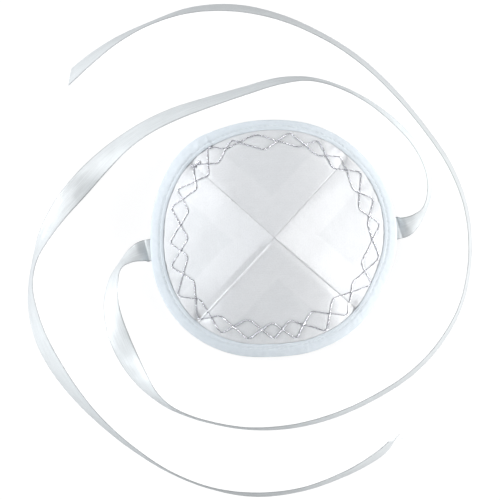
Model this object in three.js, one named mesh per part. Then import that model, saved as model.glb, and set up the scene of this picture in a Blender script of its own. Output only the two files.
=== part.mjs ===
// A baby's skullcap: four quarter panels of white satin sewn into a low crown, a bias binding folded
// over its rim, and two long satin ribbons sewn inside the rim at the left and the right.
// Lengths are in millimetres, angles in degrees, +Z is up and +Y is the back of the cap.
// The cap stands crown up on z = 0 with the origin at the middle of its base, and the ribbons lie
// round it on the same surface, partly flat and partly on edge.

import * as THREE from 'three';

// ---- Driving dimensions ---------------------------------------------------------------------

const GAP = 0.3;                          // clearance between pieces that are sewn together
const CLOTH = 1.0;                        // thickness of a panel: satin, backing and stitches

const APEX = { x: 0.15, y: 0.22 };        // where the four panels meet, seen from above
const CROWN_RISE = 27;                    // height of the apex over the panels' raw rim
// The crown's profile falls by the shares of a cone, a bowl and a skirt that steepens at the rim.
const CROWN_PROFILE = { cone: 0.58, bowl: 0.26, skirt: 0.16 };
const RIM_HEIGHT = 1.3;                   // height of the panels' raw rim at a seam's end
const RIM_SETBACK = 1.7;                  // how far the raw rim lies inside the cap's outline
const LIFT_FADE = 4;                      // power with which the rim's lift dies out up the crown

// A panel is cut from flat cloth, so near the apex it is flat across and its seams stand up as ridges.
// `share` is 0 for a round dome and 1 for four flat sides, and it dies out towards the bound rim.
const RIDGE = { share: 0.7, fadeFrom: 0.35, fadeTo: 0.9 };
// At the rim the binding draws each seam's end in, which leaves a short valley above it.
const PINCH = { depth: 1, at: 0.86, along: 0.06, beside: 5 };

const SEAM_GROOVE = { depth: 0.4, width: 1.7, fadeFrom: 0.78, fadeTo: 0.88 };
const REST = { flatFor: 9, liftedFrom: 42 };  // degrees from a seam: lying flat, fully lifted

// Seen from above, every 22.5 degrees from +X towards +Y: `reach` is the radius of the cap's outline
// round the apex, and `bound` is how wide the binding shows.
const OUTLINE = [
  { toward: 'right', reach: 55.4, bound: 5.8 },
  { toward: 'right, a little back', reach: 55.3, bound: 5 },
  { toward: 'back right seam', reach: 54.8, bound: 4.8 },
  { toward: 'back, a little right', reach: 54.2, bound: 4.6 },
  { toward: 'back', reach: 53.3, bound: 4.5 },
  { toward: 'back, a little left', reach: 54.6, bound: 5.2 },
  { toward: 'back left seam', reach: 57.4, bound: 6.6 },
  { toward: 'left, a little back', reach: 56.4, bound: 6 },
  { toward: 'left', reach: 55.7, bound: 5.8 },
  { toward: 'left, a little front', reach: 57, bound: 6.2 },
  { toward: 'front left seam', reach: 57.5, bound: 5.9 },
  { toward: 'front, a little left', reach: 55.9, bound: 5.8 },
  { toward: 'front', reach: 53.6, bound: 5.7 },
  { toward: 'front, a little right', reach: 54.2, bound: 5.8 },
  { toward: 'front right seam', reach: 54.9, bound: 5.9 },
  { toward: 'right, a little front', reach: 54.1, bound: 5.8 },
];

// Each panel runs from one seam to the next, and its rim lifts off the surface between them.
const PANELS = [
  { name: 'panel_right', from: -40.8, to: 47.7, lift: 2.6 },
  { name: 'panel_back', from: 47.7, to: 138.2, lift: 1.3 },
  { name: 'panel_left', from: 138.2, to: 227.4, lift: 2.6 },
  { name: 'panel_front', from: 227.4, to: 319.2, lift: 1.3 },
];

// Where a panel's mesh has its rows, from the tip to the rim, and its columns, from seam to middle.
const PANEL_ROWS = [0.03, 0.08, 0.16, 0.26, 0.38, 0.5, 0.62, 0.72, 0.8, 0.88, 0.94, 1];
const PANEL_COLUMNS = [0, 0.035, 0.075, 0.15, 0.26, 0.38, 0.5, 0.62, 0.75, 0.88, 1];

// The binding's folded strip, whose legs lie on both faces of the panels. `leg` runs from 0 at the
// panels' raw rim to 1 at the end of a leg, `past` goes on in millimetres beyond the raw rim, and
// `out` is measured from the middle of the cloth.
const BINDING_SECTORS = 64;
const BINDING_IN = CLOTH / 2 + GAP;
const BINDING_OUT = BINDING_IN + 1;
const FOLD_GAP = 0.6;                     // between the panels' raw rim and the fold's inside
const OUTER_LEG_SHIFT = 1.1;              // what the slope takes from the outer leg, seen from above
const INNER_LEG = 4.7;                    // length of the inner leg, seen from above
const BINDING_SECTION = [
  { leg: 1, past: 0, out: BINDING_IN }, { leg: 1, past: 0, out: BINDING_OUT },
  { leg: 0.66, past: 0, out: BINDING_OUT }, { leg: 0.33, past: 0, out: BINDING_OUT },
  { leg: 0, past: 0, out: BINDING_OUT }, { leg: 0, past: 1, out: 1.4 },
  { leg: 0, past: 1.5, out: 0.5 }, { leg: 0, past: 1.5, out: -0.5 }, { leg: 0, past: 1, out: -1.4 },
  { leg: 0, past: 0, out: -BINDING_OUT }, { leg: 0.5, past: 0, out: -BINDING_OUT },
  { leg: 1, past: 0, out: -BINDING_OUT }, { leg: 1, past: 0, out: -BINDING_IN },
  { leg: 0.5, past: 0, out: -BINDING_IN }, { leg: 0, past: 0, out: -BINDING_IN },
  { leg: 0, past: FOLD_GAP, out: -0.4 }, { leg: 0, past: FOLD_GAP, out: 0.4 },
  { leg: 0, past: 0, out: BINDING_IN }, { leg: 0.33, past: 0, out: BINDING_IN },
  { leg: 0.66, past: 0, out: BINDING_IN },
];

// The ribbons: a strip whose lower edge rests on the surface. `lean` turns the strip about its own
// length, 0 lying flat and 90 standing on edge with the edge nearer the cap on top. `rise` lifts
// the sewn end along the inside of the rim.
const RIBBON = { width: 10, thickness: 1, clearance: 0.05, stepsPerStretch: 2, slant: 6 };

const RIBBON_LEFT = [
  { x: -44.5, y: -3.8, lean: 0, rise: 5.3 }, { x: -48.5, y: -4.2, lean: 0, rise: 2.8 },
  { x: -52.3, y: -4.7, lean: 0, rise: 0.5 }, { x: -57, y: -5.5, lean: 0, rise: 0 },
  { x: -61, y: -6.8, lean: 34, rise: 0 }, { x: -65.2, y: -9, lean: 60, rise: 0 },
  { x: -69.2, y: -12.7, lean: 75, rise: 0 }, { x: -71.8, y: -19, lean: 62, rise: 0 },
  { x: -72.9, y: -27.5, lean: 48, rise: 0 }, { x: -71.8, y: -36.5, lean: 34, rise: 0 },
  { x: -69, y: -45.5, lean: 22, rise: 0 }, { x: -65, y: -54, lean: 28, rise: 0 },
  { x: -59.8, y: -62.5, lean: 46, rise: 0 }, { x: -53.2, y: -70.5, lean: 68, rise: 0 },
  { x: -44.5, y: -76.8, lean: 80, rise: 0 }, { x: -31, y: -81.8, lean: 83, rise: 0 },
  { x: -12, y: -85.2, lean: 82, rise: 0 }, { x: 8, y: -84.3, lean: 78, rise: 0 },
  { x: 27.5, y: -79.3, lean: 76, rise: 0 }, { x: 46, y: -70.8, lean: 76, rise: 0 },
  { x: 62.5, y: -59.8, lean: 76, rise: 0 }, { x: 75.5, y: -45.5, lean: 77, rise: 0 },
  { x: 84.3, y: -28.5, lean: 79, rise: 0 }, { x: 88, y: -7.5, lean: 79, rise: 0 },
  { x: 86.2, y: 13.5, lean: 78, rise: 0 }, { x: 79, y: 32.5, lean: 76, rise: 0 },
  { x: 67.7, y: 49.3, lean: 76, rise: 0 }, { x: 54, y: 65.7, lean: 75, rise: 0 },
  { x: 39, y: 79.7, lean: 74, rise: 0 }, { x: 22.5, y: 90.5, lean: 74, rise: 0 },
  { x: 3, y: 99.1, lean: 71, rise: 0 }, { x: -17, y: 103.3, lean: 68, rise: 0 },
  { x: -37, y: 102.4, lean: 72, rise: 0 }, { x: -55, y: 96.6, lean: 79, rise: 0 },
  { x: -70, y: 89.1, lean: 71, rise: 0 }, { x: -82, y: 80.6, lean: 61, rise: 0 },
  { x: -91.3, y: 72.4, lean: 57, rise: 0 },
];

const RIBBON_RIGHT = [
  { x: 43.5, y: 3, lean: 0, rise: 5.3 }, { x: 47.5, y: 3.4, lean: 0, rise: 2.8 },
  { x: 51.5, y: 3.9, lean: 0, rise: 0.5 }, { x: 56.5, y: 4.8, lean: 0, rise: 0 },
  { x: 60.4, y: 6.3, lean: 34, rise: 0 }, { x: 64.5, y: 9.3, lean: 60, rise: 0 },
  { x: 68, y: 14, lean: 77, rise: 0 }, { x: 70, y: 22.5, lean: 75, rise: 0 },
  { x: 68.6, y: 32, lean: 73, rise: 0 }, { x: 63.5, y: 42, lean: 73, rise: 0 },
  { x: 55, y: 51.5, lean: 74, rise: 0 }, { x: 43, y: 61, lean: 78, rise: 0 },
  { x: 29.9, y: 67.8, lean: 80, rise: 0 }, { x: 16, y: 71.5, lean: 78, rise: 0 },
  { x: 2, y: 70.5, lean: 69, rise: 0 }, { x: -13, y: 66.2, lean: 65, rise: 0 },
  { x: -29, y: 61.2, lean: 59, rise: 0 }, { x: -44.3, y: 55.9, lean: 52, rise: 0 },
  { x: -57, y: 49.8, lean: 48, rise: 0 }, { x: -68, y: 42.3, lean: 40, rise: 0 },
  { x: -78, y: 33.3, lean: 22, rise: 0 }, { x: -87.1, y: 23.6, lean: 5, rise: 0 },
  { x: -95.6, y: 13.2, lean: 29, rise: 0 }, { x: -102.4, y: 2.2, lean: 51, rise: 0 },
  { x: -107, y: -9.3, lean: 75, rise: 0 }, { x: -109, y: -21, lean: 76, rise: 0 },
  { x: -108, y: -32.5, lean: 63, rise: 0 }, { x: -104.5, y: -44.5, lean: 53, rise: 0 },
  { x: -98.5, y: -56.2, lean: 51, rise: 0 }, { x: -89.5, y: -69, lean: 59, rise: 0 },
  { x: -78.1, y: -81.5, lean: 70, rise: 0 }, { x: -64, y: -93.5, lean: 77, rise: 0 },
  { x: -47, y: -104.5, lean: 82, rise: 0 }, { x: -28, y: -112, lean: 82, rise: 0 },
  { x: -8, y: -114.9, lean: 76, rise: 0 }, { x: 12.4, y: -112.6, lean: 77, rise: 0 },
  { x: 31, y: -106, lean: 74, rise: 0 }, { x: 45, y: -98.3, lean: 69, rise: 0 },
  { x: 54.6, y: -90.4, lean: 68, rise: 0 },
];

// ---- Small helpers --------------------------------------------------------------------------

const radians = THREE.MathUtils.degToRad;
const degrees = THREE.MathUtils.radToDeg;
const smoothstep = THREE.MathUtils.smoothstep;

// One coordinate of a smooth curve through four neighbouring values, at t from the 2nd to the 3rd.
function throughFour(a, b, c, d, t) {
  const rising = (c - a) / 2;
  const leaving = (d - b) / 2;
  return ((2 * b - 2 * c + rising + leaving) * t + (-3 * b + 3 * c - 2 * rising - leaving)) * t * t
    + rising * t + b;
}

// A column of the outline's table at any angle.
function outline(column, angle) {
  const place = THREE.MathUtils.euclideanModulo(angle, 360) * OUTLINE.length / 360;
  const first = Math.floor(place);
  const row = (offset) => OUTLINE[(first + offset + OUTLINE.length) % OUTLINE.length][column];
  return throughFour(row(-1), row(0), row(1), row(2), place - first);
}

// ---- The crown's surface --------------------------------------------------------------------

const rawRim = (angle) => outline('reach', angle) - RIM_SETBACK;

function panelAt(angle) {
  const start = PANELS[0].from;
  const turned = start + THREE.MathUtils.euclideanModulo(angle - start, 360);
  return PANELS.find((panel) => turned <= panel.to) ?? PANELS[PANELS.length - 1];
}

// Degrees to the nearest seam.
function fromSeam(angle) {
  const panel = panelAt(angle);
  const along = THREE.MathUtils.euclideanModulo(angle - panel.from, 360);
  return Math.min(along, Math.abs(panel.to - panel.from - along));
}

// A hump of height 1 round `at`, `width` wide to each side.
const hump = (value, at, width) => Math.exp(-(((value - at) / width) ** 2));

// How far the crown has fallen, from 0 at the apex to 1 at the raw rim.
const fallen = (down) => CROWN_PROFILE.cone * down + CROWN_PROFILE.bowl * down ** 2
  + CROWN_PROFILE.skirt * down ** 4;

// Height of the middle of the cloth over a point given round the apex.
function clothHeight(x, y) {
  const angle = degrees(Math.atan2(y, x));
  const radius = Math.hypot(x, y);
  const outwards = radius / rawRim(angle);
  const away = fromSeam(angle);
  const panel = panelAt(angle);
  const lift = panel.lift * smoothstep(away, REST.flatFor, REST.liftedFrom);
  const beside = radius * Math.sin(radians(away));
  const groove = SEAM_GROOVE.depth * hump(beside, 0, SEAM_GROOVE.width)
    * (1 - smoothstep(outwards, SEAM_GROOVE.fadeFrom, SEAM_GROOVE.fadeTo));
  const pinch = PINCH.depth * hump(outwards, PINCH.at, PINCH.along) * hump(beside, 0, PINCH.beside);
  const toMiddle = 2 * away / (panel.to - panel.from);
  const flat = RIDGE.share * (1 - smoothstep(outwards, RIDGE.fadeFrom, RIDGE.fadeTo));
  const down = outwards * (1 - flat * (1 - Math.cos((1 - toMiddle) * Math.PI / 4)));
  return RIM_HEIGHT + CROWN_RISE * (1 - fallen(down)) + lift * outwards ** LIFT_FADE
    - groove - pinch;
}

// A point at `out` from the middle of the cloth, square to the surface.
function clothPoint(x, y, out) {
  const nudge = 0.05;
  const normal = new THREE.Vector3(
    clothHeight(x - nudge, y) - clothHeight(x + nudge, y),
    clothHeight(x, y - nudge) - clothHeight(x, y + nudge),
    2 * nudge,
  ).normalize();
  return new THREE.Vector3(APEX.x + x, APEX.y + y, clothHeight(x, y)).addScaledVector(normal, out);
}

// ---- Closed meshes --------------------------------------------------------------------------

function meshOf(name, points, triangles, material) {
  const geometry = new THREE.BufferGeometry();
  geometry.setAttribute('position', new THREE.Float32BufferAttribute(points.flatMap((p) => p.toArray()), 3));
  geometry.setIndex(triangles);
  geometry.computeVertexNormals();
  const mesh = new THREE.Mesh(geometry, material);
  mesh.name = name;
  return mesh;
}

// A tube through rings of equal length: closed on itself, or with flat ends.
function ringSolid(name, rings, material, closed) {
  const around = rings[0].length;
  const triangles = [];
  const lengths = closed ? rings.length : rings.length - 1;
  for (let i = 0; i < lengths; i += 1) {
    const here = i * around;
    const next = ((i + 1) % rings.length) * around;
    for (let j = 0; j < around; j += 1) {
      const k = (j + 1) % around;
      triangles.push(here + j, here + k, next + k, here + j, next + k, next + j);
    }
  }
  if (!closed) {
    const last = (rings.length - 1) * around;
    for (let j = 1; j < around - 1; j += 1) {
      triangles.push(0, j + 1, j, last, last + j, last + j + 1);
    }
  }
  return meshOf(name, rings.flat(), triangles, material);
}

// ---- The panels -----------------------------------------------------------------------------

function panelMesh(panel, material) {
  const spread = panel.to - panel.from;
  const middle = (panel.from + panel.to) / 2;
  const tip = GAP / 2 / Math.sin(radians(spread / 2));
  const tipX = tip * Math.cos(radians(middle));
  const tipY = tip * Math.sin(radians(middle));
  const halfWay = PANEL_COLUMNS.map((part) => part * spread / 2);
  const columns = [...halfWay, ...halfWay.slice(0, -1).reverse().map((part) => spread - part)];

  const points = [clothPoint(tipX, tipY, CLOTH / 2), clothPoint(tipX, tipY, -CLOTH / 2)];
  for (const row of PANEL_ROWS) {
    for (const column of columns) {
      const angle = panel.from + column;
      const reach = row * (rawRim(angle) - tip * Math.cos(radians(angle - middle)));
      const x = tipX + reach * Math.cos(radians(angle));
      const y = tipY + reach * Math.sin(radians(angle));
      points.push(clothPoint(x, y, CLOTH / 2), clothPoint(x, y, -CLOTH / 2));
    }
  }
  const top = (i, j) => 2 + 2 * (i * columns.length + j);
  const under = (i, j) => top(i, j) + 1;
  const across = columns.length - 1;
  const down = PANEL_ROWS.length - 1;
  const triangles = [0, 1, under(0, 0), 0, under(0, 0), top(0, 0),
    0, top(0, across), under(0, across), 0, under(0, across), 1];
  for (let j = 0; j < across; j += 1) {
    triangles.push(0, top(0, j), top(0, j + 1), 1, under(0, j + 1), under(0, j));
    triangles.push(top(down, j), under(down, j), under(down, j + 1));
    triangles.push(top(down, j), under(down, j + 1), top(down, j + 1));
  }
  for (let i = 0; i < down; i += 1) {
    for (let j = 0; j < across; j += 1) {
      triangles.push(top(i, j), top(i + 1, j), top(i + 1, j + 1));
      triangles.push(top(i, j), top(i + 1, j + 1), top(i, j + 1));
      triangles.push(under(i, j), under(i + 1, j + 1), under(i + 1, j));
      triangles.push(under(i, j), under(i, j + 1), under(i + 1, j + 1));
    }
    triangles.push(top(i, 0), under(i, 0), under(i + 1, 0), top(i, 0), under(i + 1, 0), top(i + 1, 0));
    triangles.push(top(i, across), under(i + 1, across), under(i, across));
    triangles.push(top(i, across), top(i + 1, across), under(i + 1, across));
  }
  return meshOf(panel.name, points, triangles, material);
}

// ---- The binding ----------------------------------------------------------------------------

function bindingMesh(material) {
  const rings = [];
  for (let i = 0; i < BINDING_SECTORS; i += 1) {
    const angle = i * 360 / BINDING_SECTORS;
    const towards = new THREE.Vector2(Math.cos(radians(angle)), Math.sin(radians(angle)));
    const at = (radius, out) => clothPoint(radius * towards.x, radius * towards.y, out);
    const edge = rawRim(angle);
    const slope = at(edge, 0).sub(at(edge - GAP, 0)).normalize();
    const outerLeg = outline('bound', angle) - RIM_SETBACK + OUTER_LEG_SHIFT;
    rings.push(BINDING_SECTION.map(({ leg, past, out }) => {
      const point = at(edge - leg * (out > 0 ? outerLeg : INNER_LEG), out).addScaledVector(slope, past);
      point.z = Math.max(point.z, 0);
      return point;
    }));
  }
  return ringSolid('binding', rings, material, true);
}

// ---- The ribbons ----------------------------------------------------------------------------

function ribbonMesh(name, stations, slant, material) {
  const at = (i, key) => stations[THREE.MathUtils.clamp(i, 0, stations.length - 1)][key];
  const along = (place, key) => {
    const i = Math.min(Math.floor(place), stations.length - 2);
    return throughFour(at(i - 1, key), at(i, key), at(i + 1, key), at(i + 2, key), place - i);
  };
  const half = RIBBON.width / 2;
  const steps = (stations.length - 1) * RIBBON.stepsPerStretch;
  const centre = (place) => {
    const lean = radians(along(place, 'lean'));
    const resting = half * Math.abs(Math.sin(lean)) + RIBBON.thickness / 2 * Math.cos(lean)
      + RIBBON.clearance;
    return new THREE.Vector3(along(place, 'x'), along(place, 'y'), resting + along(place, 'rise'));
  };
  const rings = [];
  for (let i = 0; i <= steps; i += 1) {
    const place = i / RIBBON.stepsPerStretch;
    const nudge = 0.05;
    const ahead = centre(Math.min(place + nudge, stations.length - 1))
      .sub(centre(Math.max(place - nudge, 0)));
    ahead.normalize();
    const lean = radians(along(place, 'lean'));
    const left = new THREE.Vector3(-ahead.y, ahead.x, 0).normalize();
    const above = new THREE.Vector3().crossVectors(ahead, left);
    const across = left.clone().multiplyScalar(Math.cos(lean)).addScaledVector(above, Math.sin(lean));
    const face = new THREE.Vector3().crossVectors(ahead, across);
    const skew = i === steps ? slant / 2 : 0;
    rings.push([[-1, -1], [1, -1], [1, 1], [-1, 1]].map(([side, up]) => centre(place)
      .addScaledVector(across, side * half)
      .addScaledVector(face, up * RIBBON.thickness / 2)
      .addScaledVector(ahead, side * skew)));
  }
  return ringSolid(name, rings, material, false);
}

// ---- The cap --------------------------------------------------------------------------------

const cloth = (color, roughness) => new THREE.MeshStandardMaterial({
  color, roughness, metalness: 0, side: THREE.FrontSide,
});

const cap = new THREE.Group();
cap.name = 'skullcap';
for (const panel of PANELS) {
  cap.add(panelMesh(panel, cloth(0xeff0f2, 0.45)));
}
cap.add(bindingMesh(cloth(0xdfe8ee, 0.6)));
cap.add(ribbonMesh('ribbon_left', RIBBON_LEFT, RIBBON.slant, cloth(0xeaf2f5, 0.4)));
cap.add(ribbonMesh('ribbon_right', RIBBON_RIGHT, -RIBBON.slant, cloth(0xeaf2f5, 0.4)));

export default cap;
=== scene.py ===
"""A baby's skullcap: four white satin panels, a bound rim, silver embroidery and two ribbon ties.

Lengths are in metres and angles in degrees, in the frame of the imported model: +Z is up, +Y is the back
of the cap, and the cap rests crown up on z = 0 with its ribbons lying round it on the same surface.
"""

import logging
import math
from dataclasses import dataclass
from enum import Enum

import bpy
import numpy as np
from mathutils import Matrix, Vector
from mathutils.kdtree import KDTree


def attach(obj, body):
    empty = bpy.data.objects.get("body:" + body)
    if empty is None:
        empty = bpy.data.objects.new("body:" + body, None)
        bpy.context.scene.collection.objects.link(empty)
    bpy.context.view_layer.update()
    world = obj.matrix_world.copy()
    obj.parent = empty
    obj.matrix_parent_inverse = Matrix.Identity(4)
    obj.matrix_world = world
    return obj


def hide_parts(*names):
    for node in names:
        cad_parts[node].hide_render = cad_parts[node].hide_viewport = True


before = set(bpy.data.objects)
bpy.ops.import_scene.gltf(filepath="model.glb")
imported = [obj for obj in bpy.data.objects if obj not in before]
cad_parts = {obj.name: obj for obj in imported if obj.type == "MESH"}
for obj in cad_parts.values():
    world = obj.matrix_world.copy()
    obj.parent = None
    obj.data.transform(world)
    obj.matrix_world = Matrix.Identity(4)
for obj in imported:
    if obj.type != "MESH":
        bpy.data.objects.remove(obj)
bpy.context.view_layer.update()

log = logging.getLogger("skullcap")

MM = 0.001
Numbers = np.ndarray
TURN = 2 * math.pi
STITCH_POINTS = 7
STITCH_BULGE = 0.12 * MM * np.sin(np.linspace(0, math.pi, STITCH_POINTS))


# ---- Small maths ----------------------------------------------------------------------------------


def smoothstep(value: Numbers, start: float, end: float) -> Numbers:
    """An S-shaped rise from 0 at start to 1 at end."""
    share = np.clip((value - start) / (end - start), 0, 1)
    return share * share * (3 - 2 * share)


def hump(value: Numbers, at: float, width: float) -> Numbers:
    """A hump of height 1 round `at`, `width` wide to each side."""
    return np.exp(-(((value - at) / width) ** 2))


def through_four(a: Numbers, b: Numbers, c: Numbers, d: Numbers, t: Numbers) -> Numbers:
    """A smooth curve through four neighbouring values.

    Args:
        a, b, c, d: the values, evenly spaced.
        t: the place, from 0 at b to 1 at c.

    Returns:
        The curve's value at t.
    """
    rising = (c - a) / 2
    leaving = (d - b) / 2
    bend = (2 * b - 2 * c + rising + leaving) * t + (-3 * b + 3 * c - 2 * rising - leaving)
    return bend * t * t + rising * t + b


def rolling(x: Numbers, y: Numbers, length: float, seed: int, waves: int = 6) -> Numbers:
    """Soft hills and hollows that look random and are the same each run.

    Args:
        x, y: the places.
        length: the usual distance from one hill to the next.
        seed: picks the pattern.
        waves: how many plain waves are added up.

    Returns:
        Heights, mostly between -1 and 1.
    """
    random = np.random.default_rng(seed)
    total = np.zeros(np.broadcast(x, y).shape)
    for _ in range(waves):
        heading, phase = random.uniform(0, TURN, 2)
        pace = TURN / (length * random.uniform(0.7, 1.4))
        total += np.sin(pace * (x * math.cos(heading) + y * math.sin(heading)) + phase)
    return total / math.sqrt(2 * waves)


def polar(radius: Numbers, angle: Numbers) -> tuple[Numbers, Numbers]:
    """The x and y of places at a radius and at an angle in degrees."""
    turn = np.radians(angle)
    return radius * np.cos(turn), radius * np.sin(turn)


def bearing(x: Numbers, y: Numbers) -> tuple[Numbers, Numbers]:
    """The angle in degrees and the radius of places."""
    return np.degrees(np.arctan2(y, x)), np.hypot(x, y)


def off_pitch(way: Numbers, pitch: float) -> Numbers:
    """The way to the nearest of the points that come every `pitch`, with the first at 0."""
    return np.abs(np.mod(way / pitch + 0.5, 1) - 0.5) * pitch


def paired(first: Numbers, second: Numbers) -> Numbers:
    """Pairs of two values, each spread over the other's rows or columns."""
    return np.stack(np.broadcast_arrays(first, second), -1)


def tree_of(places: Numbers) -> KDTree:
    """A search tree of places seen from above.

    Args:
        places: the places, as (count, 2).

    Returns:
        The tree, ready to be searched.
    """
    tree = KDTree(len(places))
    for number, place in enumerate(places):
        tree.insert((*place, 0), number)
    tree.balance()
    return tree


def unit(vectors: Numbers) -> Numbers:
    """The vectors, each made 1 long."""
    return vectors / np.linalg.norm(vectors, axis=-1, keepdims=True)


def travelled(points: Numbers) -> Numbers:
    """The way along a line of points up to each of them."""
    steps = np.linalg.norm(np.diff(points, axis=0), axis=1)
    return np.concatenate([[0], np.cumsum(steps)])


def evenly(points: Numbers, step: float) -> Numbers:
    """The same line, with its points evenly apart.

    Args:
        points: the line's points, in two or three directions.
        step: about how far apart they should be.

    Returns:
        The new points, with the same ends.
    """
    way = travelled(points)
    places = np.linspace(0, way[-1], max(2, round(way[-1] / step) + 1))
    return np.stack([np.interp(places, way, points[:, axis]) for axis in range(points.shape[1])], -1)


def enclosed(points: Numbers, faces: list[list[int]]) -> float:
    """Six times the volume inside a closed surface, which is negative where it is inside out.

    Args:
        points: the surface's points.
        faces: its triangles and quads, as lists of point numbers.

    Returns:
        The volume, times six.
    """
    total = 0.0
    for size in (3, 4):
        group = np.array([face for face in faces if len(face) == size], int).reshape(-1, size)
        for corner in range(1, size - 1):
            turned = np.cross(points[group[:, corner]], points[group[:, corner + 1]])
            total += float(np.einsum("ij,ij->", points[group[:, 0]], turned))
    return total


# ---- Shader nodes ---------------------------------------------------------------------------------


class Wire:
    """A number or colour that runs through a material's nodes; arithmetic on it adds Math nodes."""

    def __init__(self, nodes: "Nodes", socket: bpy.types.NodeSocket) -> None:
        """Keeps the output socket and the nodes that it belongs to."""
        self.nodes = nodes
        self.socket = socket

    def _math(self, operation: str, first: "Wire | float", second: "Wire | float") -> "Wire":
        """One Math node over two values."""
        return self.nodes.add("ShaderNodeMath", {"operation": operation}, {0: first, 1: second})

    def __add__(self, other: "Wire | float") -> "Wire":
        """The sum of this and another value."""
        return self._math("ADD", self, other)

    def __sub__(self, other: "Wire | float") -> "Wire":
        """This less another value."""
        return self._math("SUBTRACT", self, other)

    def __rsub__(self, other: float) -> "Wire":
        """A number less this."""
        return self._math("SUBTRACT", other, self)

    def __mul__(self, other: "Wire | float") -> "Wire":
        """The product of this and another value."""
        return self._math("MULTIPLY", self, other)

    __radd__ = __add__
    __rmul__ = __mul__

    def sine(self) -> "Wire":
        """The sine of this, taken in radians."""
        return self.nodes.add("ShaderNodeMath", {"operation": "SINE"}, {0: self})

    def between(self, start: float, end: float) -> "Wire":
        """An S-shaped rise from 0, where this is at start, to 1, where it is at end."""
        limits = {"Value": self, "From Min": start, "From Max": end}
        return self.nodes.add("ShaderNodeMapRange", {"interpolation_type": "SMOOTHSTEP"}, limits)


class Nodes:
    """The nodes of one material."""

    def __init__(self, name: str) -> None:
        """Starts a material with no nodes.

        Args:
            name: the material's name.
        """
        self.material = bpy.data.materials.new(name)
        self.material.use_nodes = True
        self.tree = self.material.node_tree
        self.tree.nodes.clear()

    def add(self, kind: str, settings: dict, values: dict, output: "int | str" = 0) -> Wire:
        """Adds one node.

        Args:
            kind: the node's type.
            settings: what is set on the node itself, before its sockets.
            values: for each input socket, by name or number, a Wire to link or a value to set.
            output: the output socket that goes on.

        Returns:
            The chosen output.
        """
        node = self.tree.nodes.new(kind)
        for name, value in settings.items():
            setattr(node, name, value)
        for name, value in values.items():
            if isinstance(value, Wire):
                self.tree.links.new(value.socket, node.inputs[name])
            else:
                node.inputs[name].default_value = value
        return Wire(self, node.outputs[output])

    def mix(self, share: "Wire | float", first: "Wire | tuple", second: "Wire | tuple") -> Wire:
        """A colour between two colours, the first where share is 0."""
        ends = [end if isinstance(end, Wire) else (*end, 1) for end in (first, second)]
        return self.add("ShaderNodeMix", {"data_type": "RGBA"}, {0: share, 6: ends[0], 7: ends[1]}, 2)

    def place(self) -> tuple[Wire, Wire]:
        """The place on the flat cloth, in metres.

        Returns:
            The place across the threads' run, and the place along it.
        """
        on_cloth = self.add("ShaderNodeUVMap", {"uv_map": "cloth"}, {})
        across = self.add("ShaderNodeSeparateXYZ", {}, {0: on_cloth})
        return across, Wire(self, across.socket.node.outputs[1])

    def noise(self, across: Wire, along: Wire, size: tuple[float, float], detail: float = 2) -> Wire:
        """Cloudy noise from 0 to 1 over the cloth.

        Args:
            across, along: the place on the cloth.
            size: how wide and how long a spot is.
            detail: how many finer layers are added.

        Returns:
            The noise.
        """
        place = self.add("ShaderNodeCombineXYZ", {}, {0: across * (1 / size[0]), 1: along * (1 / size[1])})
        values = {"Vector": place, "Scale": 1, "Detail": detail}
        return self.add("ShaderNodeTexNoise", {"noise_dimensions": "2D"}, values)

    def toned(self, colour: Wire, tone: Wire) -> Wire:
        """A colour made lighter or darker, by a factor near 1."""
        settings = {"data_type": "RGBA", "blend_type": "MULTIPLY"}
        return self.add("ShaderNodeMix", settings, {0: 1, 6: colour, 7: tone}, 2)

    def measure(self, name: str) -> Wire:
        """A value that the mesh carries at its points."""
        return self.add("ShaderNodeAttribute", {"attribute_name": name}, {}, "Fac")

    def bump(self, height: Wire, distance: float) -> Wire:
        """The Normal of fine relief, where a height of 1 stands `distance` proud."""
        return self.add("ShaderNodeBump", {}, {"Strength": 1, "Distance": distance, "Height": height})

    def surface(self, values: dict) -> bpy.types.Material:
        """Ends the material with a Principled surface.

        Args:
            values: for each of its sockets, a Wire or a value.

        Returns:
            The finished material.
        """
        shader = self.add("ShaderNodeBsdfPrincipled", {}, values)
        end = self.tree.nodes.new("ShaderNodeOutputMaterial")
        self.tree.links.new(shader.socket, end.inputs["Surface"])
        return self.material


# ---- Finishes -------------------------------------------------------------------------------------


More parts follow.
